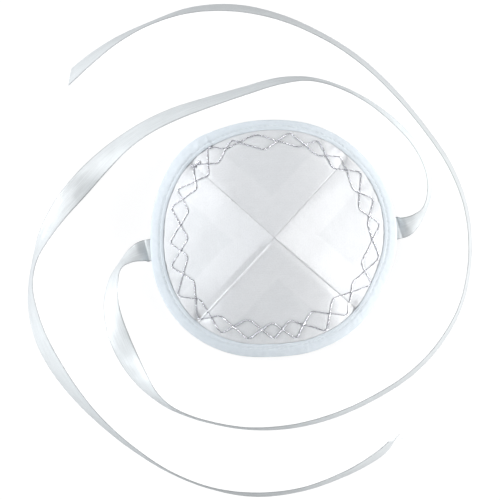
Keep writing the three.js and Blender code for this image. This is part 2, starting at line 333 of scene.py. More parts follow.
@dataclass(frozen=True)
class Satin:
    """Woven satin, whose rounded floats run one way and scatter light to both sides of their run.

    The cloth is paler where a second layer lies under it, which the mesh says as `doubled`. A ribbon's colour
    is painted darker in a band along each selvedge, as painted shade for the shading and contact shadow at
    its edges; `half_width` says where they are, and is 0 for cut cloth.
    """

    name: str
    single: tuple[float, float, float]
    double: tuple[float, float, float]
    roughness: float = 0.4
    gloss: float = 1.75
    lustre: float = 0
    sheen: float = 0.1
    float_pitch: float = 0.18 * MM
    float_slope: float = 0.5
    streak: float = 0.06
    mottle: float = 0.05
    grain: float = 0.16
    patchy: float = 0.12
    layer_wander: float = 0.35
    layer_fades: tuple[float, float] = (-0.1, 1.1)
    float_jitter: float = 5
    cloud_size: tuple[float, float] = (3.2 * MM, 4.5 * MM)
    grain_size: tuple[float, float] = (0.5 * MM, 0.7 * MM)
    streak_size: tuple[float, float] = (0.3 * MM, 14 * MM)
    slub_size: tuple[float, float] = (0.25 * MM, 2.2 * MM)
    half_width: float = 0
    selvedge: float = 0.7 * MM
    # how much darker the painted shade makes the band along a ribbon's edges
    painted_edge_shade: float = 0.35

    def material(self) -> bpy.types.Material:
        """Dresses satin.

        Returns:
            Its material.
        """
        nodes = Nodes(self.name)
        across, along = nodes.place()
        clouds = nodes.noise(across, along, self.cloud_size, 3)
        grain = nodes.noise(across, along, self.grain_size)
        streaks = nodes.noise(across, along, self.streak_size)
        tone = (clouds - 0.5) * self.mottle + (grain - 0.5) * self.grain + (streaks - 0.5) * self.streak + 1
        # painted shade: the colour is darkened in a band along each edge of a ribbon, in place of the edges'
        # shading and contact shadow
        if self.half_width:
            start, end = self.half_width - self.selvedge, self.half_width - self.selvedge / 4
            painted_edge_share = (across * across).between(start ** 2, end ** 2)
            tone = tone * (1 - painted_edge_share * self.painted_edge_shade)
        layers = (nodes.measure("doubled") + (clouds - 0.5) * self.layer_wander).between(*self.layer_fades)
        floats = (across * (TURN / self.float_pitch) + streaks * self.float_jitter).sine()
        slubs = nodes.noise(across, along, self.slub_size, 3)
        height = self.float_slope * self.float_pitch / TURN
        return nodes.surface({
            "Base Color": nodes.toned(nodes.mix(layers, self.single, self.double), tone),
            "Roughness": self.roughness + (clouds - 0.5) * self.patchy,
            "IOR": self.gloss,
            "Metallic": self.lustre,
            "Sheen Weight": self.sheen,
            "Sheen Roughness": 0.4,
            "Normal": nodes.bump(floats + slubs + grain, height),
        })


@dataclass(frozen=True)
class PlainWeave:
    """A dull plain weave, as of the binding, the satin's back and the seams' allowances."""

    name: str
    colour: tuple[float, float, float]
    shaded: tuple[float, float, float]
    roughness: float = 0.65
    patchy: float = 0.15
    shade_fades: tuple[float, float] = (0.35, 1.15)
    pitch: float = 0.28 * MM
    depth: float = 0.03 * MM
    cloud_size: tuple[float, float] = (1.8 * MM, 2.6 * MM)
    fibre_size: tuple[float, float] = (0.2 * MM, 0.9 * MM)
    bias: bool = False

    def material(self) -> bpy.types.Material:
        """Dresses a weave, whose threads run aslant where it is cut on the bias.

        Returns:
            Its material.
        """
        nodes = Nodes(self.name)
        across, along = nodes.place()
        pace = TURN / self.pitch
        warp = across + along if self.bias else across
        weft = across - along if self.bias else along
        weave = (warp * pace).sine() * (weft * pace).sine()
        clouds = nodes.noise(across, along, self.cloud_size, 3)
        fibres = nodes.noise(warp, weft, self.fibre_size)
        lit = (clouds + fibres * 0.5).between(*self.shade_fades)
        return nodes.surface({
            "Base Color": nodes.mix(lit, self.shaded, self.colour),
            "Roughness": self.roughness + (clouds - 0.5) * self.patchy,
            "Specular IOR Level": 0.35,
            "Sheen Weight": 0.25,
            "Sheen Roughness": 0.5,
            "Normal": nodes.bump(weave * 0.5 + fibres + clouds * 2, self.depth),
        })


@dataclass(frozen=True)
class Strand:
    """A twisted thread: bright metal foil, or plain spun cotton."""

    name: str
    colour: tuple[float, float, float]
    # the bright colour of the painted highlight patches
    painted_glint: tuple[float, float, float]
    metallic: float
    roughness: float
    patchy: float = 0.3
    painted_glint_fades: tuple[float, float] = (0.35, 0.7)
    twist: float = 0.5 * MM
    turns_around: float = 4000
    groove: float = 0.02 * MM
    patch_size: tuple[float, float] = (4 * MM, 0.9 * MM)

    def material(self) -> bpy.types.Material:
        """Dresses a thread, with grooves that wind round it and noise patches painted toward a bright colour
        as painted glints.

        Returns:
            Its material.
        """
        nodes = Nodes(self.name)
        around, along = nodes.place()
        wound = (along * (TURN / self.twist) + around * self.turns_around).sine()
        patches = nodes.noise(around, along, self.patch_size, 3)
        return nodes.surface({
            # painted highlight: noise patches mix the colour toward the bright glint colour
            "Base Color": nodes.mix(patches.between(*self.painted_glint_fades), self.colour, self.painted_glint),
            "Roughness": self.roughness + (patches - 0.5) * self.patchy,
            "Metallic": self.metallic,
            "Normal": nodes.bump(wound, self.groove),
        })


PANEL_SATIN = Satin("panel_satin", (0.815, 0.828, 0.845), (0.853, 0.863, 0.879))
RIBBON_SATIN = Satin("ribbon_satin", (0.80, 0.83, 0.84), (0.81, 0.84, 0.85), roughness=0.42, gloss=1.9,
                     lustre=0.1, float_pitch=0.22 * MM, float_slope=0.14, streak=0.3, mottle=0.04,
                     grain=0.08, half_width=5 * MM)
SATIN_BACK = PlainWeave("satin_back", (0.84, 0.84, 0.83), (0.77, 0.77, 0.76))
BIAS_CLOTH = PlainWeave("bias_cloth", (0.805, 0.865, 0.91), (0.755, 0.815, 0.865), bias=True)
SILVER_THREAD = Strand("silver_thread", (0.58, 0.58, 0.63), (0.95, 0.95, 0.97), metallic=0.75, roughness=0.22)
SEWING_THREAD = Strand("sewing_thread", (0.76, 0.81, 0.84), (0.86, 0.9, 0.92), metallic=0.0, roughness=0.6)


# ---- Meshes ---------------------------------------------------------------------------------------


class Ends(Enum):
    """How a swept tube is closed."""

    JOINED = "its last ring meets its first"
    FLAT = "strips run across each end, from one face of the loop to the other"
    ROUND = "a fan of triangles fills each end"


class Skin:
    """Gathers the faces of one piece."""

    def __init__(self) -> None:
        """Starts with nothing."""
        self.points: list[Numbers] = []
        self.faces: list[list[int]] = []
        self.places: list[Numbers] = []
        self.finishes: list[int] = []
        self.doubled: list[Numbers] = []
        self.count = 0

    def add_tube(
        self, rings: Numbers, places: Numbers, ends: Ends, finish: "Numbers | None" = None,
        doubled: "Numbers | None" = None,
    ) -> None:
        """Adds a closed tube through rings of equal length.

        Args:
            rings: its points, as (rings, points round a ring, 3).
            places: the places on the flat cloth, as (rings, points round a ring + 1, 2), with one ring
                more where the tube is joined.
            ends: how it is closed.
            finish: the material's number for each strip along the tube.
            doubled: for each point, how much a second layer lies under it.
        """
        lengths, around = rings.shape[:2]
        spans = lengths if ends is Ends.JOINED else lengths - 1
        i, j = (grid.ravel() for grid in np.meshgrid(np.arange(spans), np.arange(around), indexing="ij"))
        i_next, j_next = (i + 1) % lengths, (j + 1) % around
        quads = np.stack([i * around + j, i_next * around + j, i_next * around + j_next,
                          i * around + j_next], -1)
        corners = np.stack([places[i, j], places[i + 1, j], places[i + 1, j + 1], places[i, j + 1]], 1)
        finish = np.zeros(around, int) if finish is None else finish
        points = rings.reshape(-1, 3)
        faces, flat = quads.tolist(), [corners.reshape(-1, 2)]
        finishes = finish[j].tolist()
        if ends is not Ends.JOINED:
            for ring, step in ((0, 1), (lengths - 1, -1)):
                for face in self._end(ring, around, step, ends, len(points)):
                    faces.append(face)
                    inside = [corner for corner in face if corner < lengths * around]
                    seen = [places[c // around, c % around] for c in inside]
                    flat.append(np.array(seen + [seen[0]] * (len(face) - len(seen))))
                    finishes.append(int(finish[0]))
                if ends is Ends.ROUND:
                    points = np.vstack([points, rings[ring].mean(0)])
        if enclosed(points, faces) < 0:
            faces = [face[::-1] for face in faces]
            sizes = np.cumsum([0] + [len(face) for face in faces])
            joined = np.vstack(flat)
            order = np.concatenate([np.arange(a, b)[::-1] for a, b in zip(sizes[:-1], sizes[1:])])
            flat = [joined[order]]
        values = np.ones(len(points))
        if doubled is not None:
            values[:lengths * around] = doubled.ravel()
        self.points.append(points)
        self.faces += [[corner + self.count for corner in face] for face in faces]
        self.places += flat
        self.finishes += finishes
        self.doubled.append(values)
        self.count += len(points)

    @staticmethod
    def _end(ring: int, around: int, step: int, ends: Ends, centre: int) -> list[list[int]]:
        """The faces that close one end of a tube.

        Args:
            ring: the end's ring.
            around: how many points a ring has.
            step: 1 at the start and -1 at the finish, which turns the faces over.
            ends: how the end is closed.
            centre: the number that the fan's middle point gets.

        Returns:
            The faces, as lists of point numbers.
        """
        base = ring * around
        if ends is Ends.FLAT:
            other = around - 1
            faces = [[j, j + 1, other - 1 - j, other - j] for j in range(around // 2 - 1)]
            return [[base + corner for corner in face[::step]] for face in faces]
        fans = [[centre, base + j, base + (j + 1) % around] for j in range(around)]
        return [face[::step] for face in fans]

    def add_sheet(
        self, top: Numbers, under: Numbers, flat: Numbers, finish: "Numbers | None" = None,
        doubled: "Numbers | None" = None,
    ) -> None:
        """Adds a closed wall of cloth between two faces.

        Args:
            top, under: the points of its upper and lower face, as (rows, columns, 3).
            flat: their places on the flat cloth, as (rows, columns, 2).
            finish: the material's number for each column of the upper face and then of the lower.
            doubled: for each of a face's points, how much a second layer lies under it.
        """
        places = np.concatenate([flat, flat[:, ::-1], flat[:, :1]], 1)
        if doubled is not None:
            doubled = np.concatenate([doubled, doubled[:, ::-1]], 1)
        self.add_tube(np.concatenate([top, under[:, ::-1]], 1), places, Ends.FLAT, finish, doubled)

    def add_thread(
        self, line: Numbers, above: Numbers, radius: "Numbers | float", sides: int = 6,
        joined: bool = False,
    ) -> None:
        """Adds a round thread along a line.

        Args:
            line: the points that it follows.
            above: a direction at each point that isn't along the line.
            radius: its radius, or its radius at each point.
            sides: how many sides its section has.
            joined: whether its end meets its start.
        """
        ahead = np.gradient(line, axis=0)
        if joined:
            ahead = np.roll(line, -1, axis=0) - np.roll(line, 1, axis=0)
        ahead = unit(ahead)
        beside = unit(np.cross(above, ahead))
        above = np.cross(ahead, beside)
        turn = np.arange(sides) * TURN / sides
        spokes = np.cos(turn)[None, :, None] * beside[:, None] + np.sin(turn)[None, :, None] * above[:, None]
        thickness = np.broadcast_to(radius, len(line))
        rings = line[:, None] + spokes * thickness[:, None, None]
        way = travelled(np.vstack([line, line[:1]]) if joined else line)
        girth = np.linspace(0, TURN * float(thickness.max()), sides + 1)
        places = paired(girth[None, :], way[:, None])
        self.add_tube(rings, places, Ends.JOINED if joined else Ends.ROUND)

    def piece(self, name: str, materials: list[bpy.types.Material], slot: str) -> bpy.types.Object:
        """Makes the gathered faces into one object that rides on the part's body.

        Args:
            name: the piece's name.
            materials: its materials, in the order of their numbers.
            slot: the record's material slot.

        Returns:
            The object.
        """
        mesh = bpy.data.meshes.new(name)
        mesh.from_pydata(np.vstack(self.points).tolist(), [], self.faces)
        mesh.uv_layers.new(name="cloth").data.foreach_set("uv", np.vstack(self.places).ravel())
        doubled = mesh.attributes.new("doubled", "FLOAT", "POINT")
        doubled.data.foreach_set("value", np.concatenate(self.doubled).astype(np.float32))
        mesh.polygons.foreach_set("material_index", self.finishes)
        for material in materials:
            mesh.materials.append(material)
        mesh.shade_smooth()
        mesh.set_sharp_from_angle(angle=math.radians(55))
        obj = bpy.data.objects.new(name, mesh)
        bpy.context.scene.collection.objects.link(obj)
        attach(obj, "root")
        triangles = sum(len(face) - 2 for face in self.faces)
        log.info("%s: %d triangles in slot %s", name, triangles, slot)
        return obj


# ---- The crown's surface --------------------------------------------------------------------------


@dataclass(frozen=True)
class Rim:
    """One direction of the cap's outline: its radius round the apex, and how wide the binding shows."""

    reach: float
    bound: float


@dataclass(frozen=True)
class Cut:
    """One panel, from seam to seam, with how far its rim lifts and its edges stand over its neighbours'."""

    name: str
    start: float
    end: float
    lift: float
    proud: float


OUTLINE = tuple(Rim(*row) for row in (
    (0.0554, 0.0058), (0.0553, 0.0050), (0.0548, 0.0048), (0.0542, 0.0046), (0.0533, 0.0045),
    (0.0546, 0.0052), (0.0574, 0.0066), (0.0564, 0.0060), (0.0557, 0.0058), (0.0570, 0.0062),
    (0.0575, 0.0059), (0.0559, 0.0058), (0.0536, 0.0057), (0.0542, 0.0058), (0.0549, 0.0059),
    (0.0541, 0.0058),
))

PANELS = (
    Cut("panel_right", -40.8, 47.7, 2.6 * MM, 0.10 * MM),
    Cut("panel_back", 47.7, 138.2, 1.3 * MM, -0.05 * MM),
    Cut("panel_left", 138.2, 227.4, 2.6 * MM, 0.10 * MM),
    Cut("panel_front", 227.4, 319.2, 1.3 * MM, -0.05 * MM),
)


@dataclass(frozen=True)
class Seam:
    """The relief beside a seam, on its clockwise and its anticlockwise side, seen from above."""

    angle: float
    crease: float
    welt: tuple[float, float]
    dip: tuple[float, float]


SEAMS = (
    Seam(PANELS[0].start, 0.20 * MM, (0.0, 0.05 * MM), (0.20 * MM, 0.0)),
    Seam(PANELS[1].start, 0.16 * MM, (0.0, 0.05 * MM), (0.0, 0.0)),
    Seam(PANELS[2].start, 0.02 * MM, (0.0, 0.0), (0.0, 0.0)),
    Seam(PANELS[3].start, 0.08 * MM, (0.0, 0.42 * MM), (0.20 * MM, 0.0)),
)


@dataclass(frozen=True)
class Crown:
    """The middle of the panels' cloth, as a height over the ground, round the apex."""

    apex: tuple[float, float] = (0.15 * MM, 0.22 * MM)
    rise: float = 27 * MM
    cone: float = 0.58
    bowl: float = 0.26
    skirt: float = 0.16
    rim_height: float = 1.3 * MM
    setback: float = 1.7 * MM
    lift_fade: float = 4
    flat_for: float = 9
    lifted_from: float = 42
    ridge_share: float = 0.7
    ridge_fades: tuple[float, float] = (0.35, 0.9)
    groove: float = 0.25 * MM
    groove_width: float = 1.7 * MM
    groove_fades: tuple[float, float] = (0.78, 0.88)
    pinch: float = 1 * MM
    pinch_at: float = 0.86
    pinch_along: float = 0.06
    pinch_beside: float = 5 * MM

    def around(self, column: str, angle: Numbers) -> Numbers:
        """A column of the outline's table at any angles.

        Args:
            column: the column's name.
            angle: the angles, in degrees.

        Returns:
            Its values there.
        """
        values = np.array([getattr(rim, column) for rim in OUTLINE])
        place = np.mod(angle, 360) * len(values) / 360
        first = np.floor(place).astype(int)
        four = [values[(first + step) % len(values)] for step in (-1, 0, 1, 2)]
        return through_four(*four, place - first)

    def raw_rim(self, angle: Numbers) -> Numbers:
        """Radius of the panels' raw rim."""
        return self.around("reach", angle) - self.setback

    def cut_at(self, angle: Numbers, value: str) -> Numbers:
        """A value of the panel that lies at each angle.

        Args:
            angle: the angles, in degrees.
            value: the value's name.

        Returns:
            The values.
        """
        turned = np.mod(angle - PANELS[0].start, 360)
        edges = np.array([cut.end - PANELS[0].start for cut in PANELS[:-1]])
        return np.array([getattr(cut, value) for cut in PANELS])[np.searchsorted(edges, turned)]

    def from_seam(self, angle: Numbers) -> Numbers:
        """Degrees to the nearest seam."""
        turns = [np.abs(np.mod(angle - cut.start + 180, 360) - 180) for cut in PANELS]
        return np.min(turns, axis=0)

    def height(self, x: Numbers, y: Numbers) -> Numbers:
        """Height of the middle of the cloth over the ground.

        Args:
            x, y: places round the apex.

        Returns:
            The heights.
        """
        angle, radius = bearing(x, y)
        outwards = radius / self.raw_rim(angle)
        away = self.from_seam(angle)
        beside = radius * np.sin(np.radians(away))
        lift = self.cut_at(angle, "lift") * smoothstep(away, self.flat_for, self.lifted_from)
        groove = self.groove * hump(beside, 0, self.groove_width) \
            * (1 - smoothstep(outwards, *self.groove_fades))
        pinch = self.pinch * hump(outwards, self.pinch_at, self.pinch_along) \
            * hump(beside, 0, self.pinch_beside)
        to_middle = 2 * away / (self.cut_at(angle, "end") - self.cut_at(angle, "start"))
        flat = self.ridge_share * (1 - smoothstep(outwards, *self.ridge_fades))
        down = outwards * (1 - flat * (1 - np.cos((1 - to_middle) * math.pi / 4)))
        fallen = self.cone * down + self.bowl * down ** 2 + self.skirt * down ** 4
        return self.rim_height + self.rise * (1 - fallen) \
            + lift * outwards ** self.lift_fade - groove - pinch

    def point(self, x: Numbers, y: Numbers, out: Numbers) -> Numbers:
        """Points off the middle of the cloth, in the part's frame.

        Args:
            x, y: places round the apex.
            out: how far the points stand off, square to the cloth.

        Returns:
            The points.
        """
        normal = self.normal(x, y)
        middle = np.stack([self.apex[0] + x, self.apex[1] + y, self.height(x, y)], -1)
        return middle + normal * np.broadcast_to(out, x.shape)[..., None]

    def normal(self, x: Numbers, y: Numbers) -> Numbers:
        """The direction square to the cloth.

        Args:
            x, y: places round the apex.

        Returns:
            The directions, each 1 long.
        """
        nudge = 0.05 * MM
        rise_x = self.height(x - nudge, y) - self.height(x + nudge, y)
        rise_y = self.height(x, y - nudge) - self.height(x, y + nudge)
        return unit(np.stack([rise_x, rise_y, np.full(x.shape, 2 * nudge)], -1))


# ---- The embroidery -------------------------------------------------------------------------------


@dataclass(frozen=True)
class Lozenge:
    """One lozenge between the two waves: its outer and its inner corner, round the apex."""

    outer_angle: float
    outer_reach: float
    inner_angle: float
    inner_reach: float


@dataclass
class Embroidery:
    """Two waves of silver thread that cross each other round the crown."""

    crown: Crown
    thread: float = 0.6 * MM
    corner: float = 2 * MM
    stitch: float = 2.9 * MM
    dip: float = 0.26 * MM
    dip_width: float = 0.28 * MM
    crossing: float = 0.38 * MM
    crossing_width: float = 0.7 * MM
    step: float = 0.16 * MM
    ply_pitch: float = 1.1 * MM
    ply_off: float = 0.22
    ply_radius: float = 0.28
    knot_radius: float = 0.34
    wobble: float = 0.14 * MM
    wobble_length: float = 7 * MM
    tuck: float = 0.4 * MM
    tuck_over: tuple[float, float] = (0.5 * MM, 0.3 * MM)
    overhang: float = 0.5 * MM

    KNOTS = ((138.3, 0.0482, 1.5 * MM), (135.2, 0.0474, 1.1 * MM), (125.6, 0.0492, 0.7 * MM))

    LOZENGES = tuple(Lozenge(*row) for row in (
        (7.5, 0.0484, 8, 0.0422), (21.5, 0.0483, 19, 0.0400), (37, 0.0491, 31, 0.0413),
        (50.5, 0.0477, 49.5, 0.0407), (66, 0.0484, 61.5, 0.0416), (81.5, 0.0481, 74.5, 0.0421),
        (100, 0.0474, 96.5, 0.0396), (114, 0.0483, 119.5, 0.0456), (126, 0.0514, 127, 0.0417),
        (138, 0.0496, 136.5, 0.0404), (153.5, 0.0488, 147.5, 0.0407), (163.5, 0.0485, 162.5, 0.0399),
        (182.5, 0.0473, 180.5, 0.0386), (195.5, 0.0484, 192, 0.0395), (211, 0.0509, 208.5, 0.0406),
        (227, 0.0508, 219.5, 0.0430), (241, 0.0492, 235, 0.0421), (255.5, 0.0473, 252, 0.0381),
        (270, 0.0456, 268.5, 0.0378), (282.5, 0.0466, 280.5, 0.0375), (299.5, 0.0482, 296.5, 0.0367),
        (313.5, 0.0482, 314, 0.0376), (334.5, 0.0489, 330.5, 0.0403), (349, 0.0484, 343.5, 0.0406),
    ))

    def __post_init__(self) -> None:
        """Lays out both waves, seen from above."""
        self.waves = [self._wave(first) for first in (0, 1)]
        self.tree = tree_of(np.vstack(self.waves))

    def _wave(self, first: int) -> Numbers:
        """One wave's line, closed on itself, as points round the apex.

        Args:
            first: 0 for the wave that turns at the outer corner of the even lozenges, or 1.

        Returns:
            The points, as (count, 2).
        """
        corners = []
        for number, lozenge in enumerate(self.LOZENGES):
            if number % 2 == first:
                corners.append(polar(lozenge.outer_reach, lozenge.outer_angle))
            else:
                corners.append(polar(lozenge.inner_reach, lozenge.inner_angle))
        corners = np.array(corners)
        line = []
        for number, corner in enumerate(corners):
            before, after = corners[number - 1], corners[(number + 1) % len(corners)]
            starts = [corner + unit(other - corner) * self.corner for other in (before, after)]
            for t in np.linspace(0, 1, 9):
                line.append((1 - t) ** 2 * starts[0] + 2 * t * (1 - t) * corner + t * t * starts[1])
        line.append(line[0])
        line = evenly(np.array(line), self.step)[:-1]
        wobble = rolling(*line.T, self.wobble_length, 3 + first)[:, None] * self.wobble
        return line + unit(line) * (wobble - self.overhang)

    def from_thread(self, x: Numbers, y: Numbers) -> Numbers:
        """Distance to the nearest thread, seen from above.

        Args:
            x, y: places round the apex.

        Returns:
            The distances.
        """
        flat = np.stack([x.ravel(), y.ravel()], -1)
        found = [self.tree.find((a, b, 0))[2] for a, b in flat]
        return np.array(found).reshape(x.shape)

    def build(self, panels: "Panels") -> None:
        """Makes the two threads on the finished cloth, and their knots.

        Args:
            panels: the panels that they are sewn through.
        """
        material = SILVER_THREAD.material()
        under = tree_of(self.waves[0])
        for number, line in enumerate(self.waves):
            x, y = line.T
            way = travelled(line)
            holes = off_pitch(way, self.stitch)
            out = self.thread * 0.5 - self.dip * hump(holes, 0, self.dip_width)
            if number == 1:
                apart = np.array([under.find((*place, 0))[2] for place in line])
                out = out + self.crossing * hump(apart, 0, self.crossing_width)
            angle, radius = bearing(x, y)
            edge = panels.binding_edge(angle)
            under_binding = smoothstep(radius, edge - self.tuck_over[0], edge + self.tuck_over[1])
            out = out * (1 - under_binding) - self.tuck * under_binding
            centre = panels.outer(x, y, out)
            above = self.crown.normal(x, y)
            ahead = unit(np.roll(centre, -1, axis=0) - np.roll(centre, 1, axis=0))
            beside = unit(np.cross(above, ahead))
            turns = round(way[-1] / self.ply_pitch)
            skin = Skin()
            for ply in (0, math.pi):
                twist = (way / way[-1] * turns * TURN + ply)[:, None]
                offset = (np.cos(twist) * beside + np.sin(twist) * above) * self.thread * self.ply_off
                skin.add_thread(centre + offset, above, self.thread * self.ply_radius, joined=True)
            skin.piece(f"embroidery_wave_{'ab'[number]}", [material], "silver_thread")
        self._knots(panels, material)

    def _knots(self, panels: "Panels", material: bpy.types.Material) -> None:
        """Makes the small tangles where the thread's ends are sewn in.

        Args:
            panels: the panels that they lie on.
            material: the thread's material.
        """
        skin = Skin()
        random = np.random.default_rng(71)
        for angle, reach, size in self.KNOTS:
            turn = np.linspace(0, 1, 90)
            pace = random.uniform(2.2, 4.6, 4) * TURN
            start = random.uniform(0, TURN, 4)
            swing = np.sin(pace[:, None] * turn + start[:, None])
            x, y = polar(reach, angle)
            x = x + size / 2 * (swing[0] + swing[1] / 2)
            y = y + size / 2 * (swing[2] + swing[3] / 2)
            line = panels.outer(x, y, self.thread * (0.5 + 0.9 * turn))
            skin.add_thread(line, self.crown.normal(x, y), self.thread * self.knot_radius)
        skin.piece("embroidery_knots", [material], "silver_thread")


# ---- The panels -----------------------------------------------------------------------------------


@dataclass
class Panels:
    """The four quarter panels, with the seams between them."""

    crown: Crown
    embroidery: Embroidery
    face: float = 0.5 * MM
    back: float = -0.25 * MM
    gap: float = 0.03 * MM
    rows: int = 118
    columns: int = 150
    first_row: float = 0.0006
    crowding: float = 0.6
    outer_leg_shift: float = 0.7 * MM
    proud_fades: tuple[float, float] = (4 * MM, 13 * MM)
    proud_from: float = 4 * MM
    dent: float = 0.8 * MM
    dent_along: float = 0.05
    dent_beside: float = 2.6 * MM
    welt_at: float = 0.5 * MM
    welt_width: float = 0.45 * MM
    dip_width: float = 1.6 * MM
    crease_width: float = 0.35 * MM
    seam_from: tuple[float, float] = (1 * MM, 5 * MM)
    seam_to: tuple[float, float] = (0.85, 0.95)
    allowance: float = 13 * MM
    allowance_thick: float = 0.3 * MM
    allowance_clear: float = 0.04 * MM
    allowance_short: float = 0.4 * MM
    allowance_shows: float = 0.09 * MM
    allowance_end: float = 0.7 * MM
    allowance_start: float = 0.6 * MM
    allowance_rows: int = 90
    allowance_columns: int = 24
    allowance_apart: float = 0.12 * MM
    fray: float = 0.25 * MM
    layer_wander: float = 0.35 * MM
    layer_blur: float = 0.9 * MM
    layer_hills: tuple[float, int] = (14 * MM, 21)
    pucker_pitch: float = 2.7 * MM
    pucker: float = 0.045 * MM
    pucker_fade: float = 2.2 * MM
    pucker_shift: float = 1.5
    pucker_hills: tuple[float, int] = (9 * MM, 11)
    inner_pucker: float = 0.05 * MM
    inner_pucker_fade: float = 3 * MM
    unevenness: float = 0.14 * MM
    uneven_from: tuple[float, float] = (0.1, 0.5)
    uneven_hills: tuple[float, int] = (17 * MM, 5)
    gather: float = 0.11 * MM
    gathers: int = 52
    gather_shift: float = 2.5
    gather_hills: tuple[float, int] = (22 * MM, 8)
    gathered: tuple[float, float] = (0.84, 0.93)
    thread_dent: float = 0.15 * MM
    thread_dent_width: float = 0.55 * MM
    pillow: float = 0.12 * MM
    pillow_reach: float = 2.4 * MM
    pillow_at: float = 0.82
    pillow_along: float = 0.09
    pressed: float = 0.12 * MM
    pressed_from: tuple[float, float] = (0.7 * MM, 0.3 * MM)
    stitch: float = 2.1 * MM
    stitch_space: float = 0.35 * MM
    stitch_depth: float = 0.4 * MM
    stitch_thread: float = 0.11 * MM
    stitches_short: float = 3 * MM

    def binding_edge(self, angle: Numbers) -> Numbers:
        """Radius at which the binding's outer leg ends, seen from above."""
        leg = self.crown.around("bound", angle) - self.crown.setback + self.outer_leg_shift
        return self.crown.raw_rim(angle) - leg

    def _seam_relief(self, angle: Numbers, radius: Numbers, outwards: Numbers) -> Numbers:
        """The creases, welts and dips along the four seams.

        Args:
            angle, radius: places round the apex.
            outwards: their share of the way to the raw rim.

        Returns:
            The heights, square to the cloth.
        """
        total = np.zeros(np.shape(radius))
        for seam in SEAMS:
            turn = np.radians(np.mod(angle - seam.angle + 180, 360) - 180)
            off, side = radius * np.sin(np.abs(turn)), (turn > 0).astype(int)
            form = np.array(seam.welt)[side] * hump(off, self.welt_at, self.welt_width) \
                - np.array(seam.dip)[side] * hump(off, self.welt_at, self.dip_width) \
                - seam.crease * hump(off, 0, self.crease_width)
            total += form * (np.abs(turn) < 1)
        return total * smoothstep(radius, *self.seam_from) * (1 - smoothstep(outwards, *self.seam_to))

    def relief(self, x: Numbers, y: Numbers) -> Numbers:
        """How far the outer face stands over its plain form: folds, puckers and dents of the sewing.

        Args:
            x, y: places round the apex.

        Returns:
            The heights, square to the cloth.
        """
        crown = self.crown
        angle, radius = bearing(x, y)
        outwards = radius / crown.raw_rim(angle)
        away = np.radians(crown.from_seam(angle))
        beside, along = radius * np.sin(away), radius * np.cos(away)
        proud = crown.cut_at(angle, "proud") * (1 - smoothstep(beside, *self.proud_fades))
        total = proud * smoothstep(radius, 0, self.proud_from) + self._seam_relief(angle, radius, outwards)
        total -= self.dent * hump(outwards, crown.pinch_at, self.dent_along) \
            * hump(beside, 0, self.dent_beside)
        layer_end = (self.allowance - self.allowance_end, self.allowance + self.allowance_end)
        total += self.allowance_shows * (1 - smoothstep(beside, *layer_end))
        shift = self.pucker_shift * rolling(x, y, *self.pucker_hills)
        puckers = np.sin(TURN * along / self.pucker_pitch + shift)
        total += self.pucker * puckers * np.exp(-beside / self.pucker_fade)
        total += self.unevenness * rolling(x, y, *self.uneven_hills) * smoothstep(outwards, *self.uneven_from)
        shift = self.gather_shift * rolling(x, y, *self.gather_hills)
        gathers = np.sin(np.radians(angle) * self.gathers + shift)
        total += self.gather * gathers * smoothstep(outwards, *self.gathered)
        thread = self.embroidery.from_thread(x, y)
        total -= self.thread_dent * hump(thread, 0, self.thread_dent_width)
        total += self.pillow * smoothstep(thread, 0, self.pillow_reach) \
            * hump(outwards, self.pillow_at, self.pillow_along)
        edge = self.binding_edge(angle)
        covered = smoothstep(radius, edge - self.pressed_from[0], edge + self.pressed_from[1])
        return total * (1 - covered) - self.pressed * covered

    def outer(self, x: Numbers, y: Numbers, out: "Numbers | float") -> Numbers:
        """Points at `out` over the panels' finished outer face."""
        return self.crown.point(x, y, self.face + self.relief(x, y) + out)

    def build(self) -> None:
        """Makes the panels and what is sewn inside them."""
        satin, back = PANEL_SATIN.material(), SATIN_BACK.material()
        thread = SEWING_THREAD.material()
        for cut in PANELS:
            self._panel(cut, [satin, back])
        for cut in PANELS:
            self._allowances(cut, [back])
        self._seam_stitches(thread)

    def _panel(self, cut: Cut, materials: list[bpy.types.Material]) -> None:
        """Makes one panel as a closed wall of cloth.

        Args:
            cut: the panel.
            materials: its outer and its inner finish.
        """
        middle = math.radians((cut.start + cut.end) / 2)
        tip = self.gap / 2 / math.sin(math.radians(cut.end - cut.start) / 2)
        share = np.linspace(0, 1, self.columns)
        share -= self.crowding * np.sin(TURN * share) / TURN
        angle = (cut.start + share * (cut.end - cut.start))[None, :]
        row = np.linspace(self.first_row, 1, self.rows)[:, None]
        reach = row * (self.crown.raw_rim(angle) - tip * np.cos(np.radians(angle) - middle))
        x, y = polar(reach, angle)
        x, y = x + tip * math.cos(middle), y + tip * math.sin(middle)
        across = y * math.cos(middle) - x * math.sin(middle)
        along = x * math.cos(middle) + y * math.sin(middle)
        bearings, radius = bearing(x, y)
        beside = radius * np.sin(np.radians(self.crown.from_seam(bearings)))
        edge = self.allowance + self.layer_wander * rolling(x, y, *self.layer_hills)
        doubled = 1 - smoothstep(beside - edge, -self.layer_blur, self.layer_blur)
        skin = Skin()
        top, under = self.outer(x, y, 0.0), self.crown.point(x, y, self.back)
        finish = np.repeat([0, 1], self.columns)
        skin.add_sheet(top, under, np.stack([along, across], -1), finish, doubled)
        piece = skin.piece(cut.name + "_cloth", materials, "satin")
        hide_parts(cut.name)

